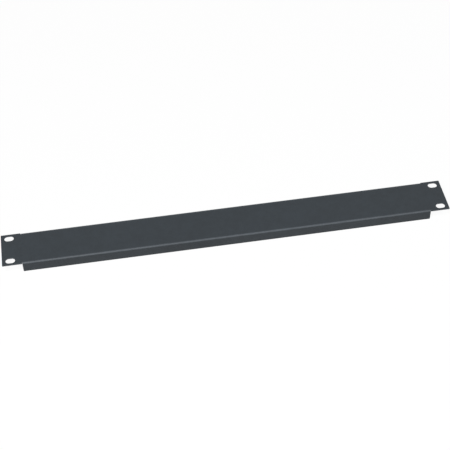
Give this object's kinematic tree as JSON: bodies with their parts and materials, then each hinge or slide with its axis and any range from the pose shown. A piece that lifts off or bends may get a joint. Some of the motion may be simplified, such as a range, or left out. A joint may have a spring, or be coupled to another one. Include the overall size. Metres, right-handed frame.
{
  "type": "rack blanking panel",
  "caption": "Slim blanking panel for a server rack, folded from sheet steel, with both long edges turned back and slotted ears that bolt to the rack posts.",
  "frame": {"origin": "midway along and across the panel, level with the free edges of the flanges, on which it lies face up", "axes": "+X along the panel's length, +Y across its height in the rack, +Z out of the front face"},
  "size_m": [0.4826, 0.0436, 0.0125],
  "materials": {
    "powder_coat": "dark slate grey powder coat, fine texture, semi-matt"
  },
  "bodies": {
    "root": {"blanking_panel": "powder_coat"}
  },
  "joints": []
}
